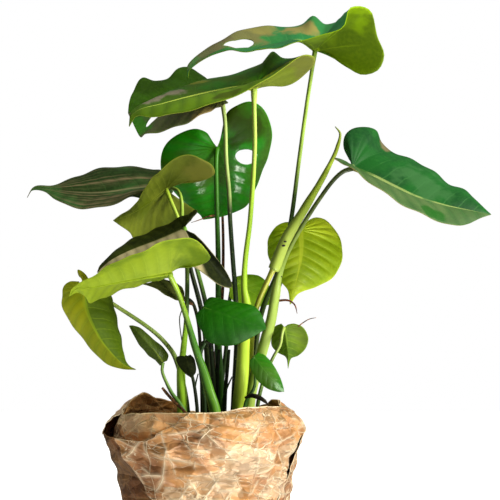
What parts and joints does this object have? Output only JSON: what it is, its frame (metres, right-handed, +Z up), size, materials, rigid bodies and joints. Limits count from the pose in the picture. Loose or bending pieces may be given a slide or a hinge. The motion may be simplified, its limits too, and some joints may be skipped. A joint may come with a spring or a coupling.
{
  "type": "potted monstera",
  "caption": "Young split-leaf plant with heart-shaped and holed leaves on long petioles, in a nursery pot wrapped in a crumpled paper bag",
  "frame": {"origin": "middle of the flat underside of the paper bag, on the surface it stands on", "axes": "+Z up; the picture looks along +Y with +X to its right"},
  "size_m": [0.5119, 0.2595, 0.6264],
  "materials": {
    "leaf_deep": "waxy deep green leaf with a soft grey sheen",
    "leaf_fresh": "glossy saturated green leaf",
    "leaf_dark": "very dark green leaf, grey-brown at grazing angles",
    "leaf_olive": "matt olive green underside with paler veins",
    "leaf_bright": "soft light yellow-green underside",
    "petiole": "smooth light green stem, paler on the lit side",
    "dry_root": "dry dark brown fibre",
    "soil": "loose dark potting mix",
    "pot_plastic": "thin brown nursery pot plastic",
    "kraft_paper": "crumpled brown kraft paper with pale worn creases"
  },
  "bodies": {
    "root": {"blade_top": "leaf_deep", "blade_broad": "leaf_deep", "blade_behind": "leaf_deep", "blade_glossy": "leaf_fresh", "blade_dark_left": "leaf_dark", "blade_olive": "leaf_olive", "blade_tent": "leaf_dark", "blade_bright": "leaf_bright", "blade_hanging": "leaf_olive", "blade_right": "leaf_deep", "blade_heart": "leaf_olive", "blade_back": "leaf_deep", "blade_centre": "leaf_fresh", "blade_small_right": "leaf_bright", "blade_small_glossy": "leaf_deep", "blade_small_left": "leaf_dark", "blade_small_dark": "leaf_dark", "blade_narrow": "leaf_dark", "stem_top": "petiole", "stem_broad": "petiole", "stem_behind": "petiole", "stem_glossy": "petiole", "stem_dark_left": "petiole", "stem_olive": "petiole", "stem_tent": "petiole", "stem_bright": "petiole", "stem_hanging": "petiole", "stem_right": "petiole", "stem_heart": "petiole", "stem_back": "petiole", "stem_centre": "petiole", "stem_small_right": "petiole", "stem_small_glossy": "petiole", "stem_small_left": "petiole", "stem_small_dark": "petiole", "stem_narrow": "petiole", "stem_spear": "petiole", "stem_brown": "dry_root", "soil": "soil", "nursery_pot": "pot_plastic", "paper_bag": "kraft_paper"}
  },
  "joints": []
}
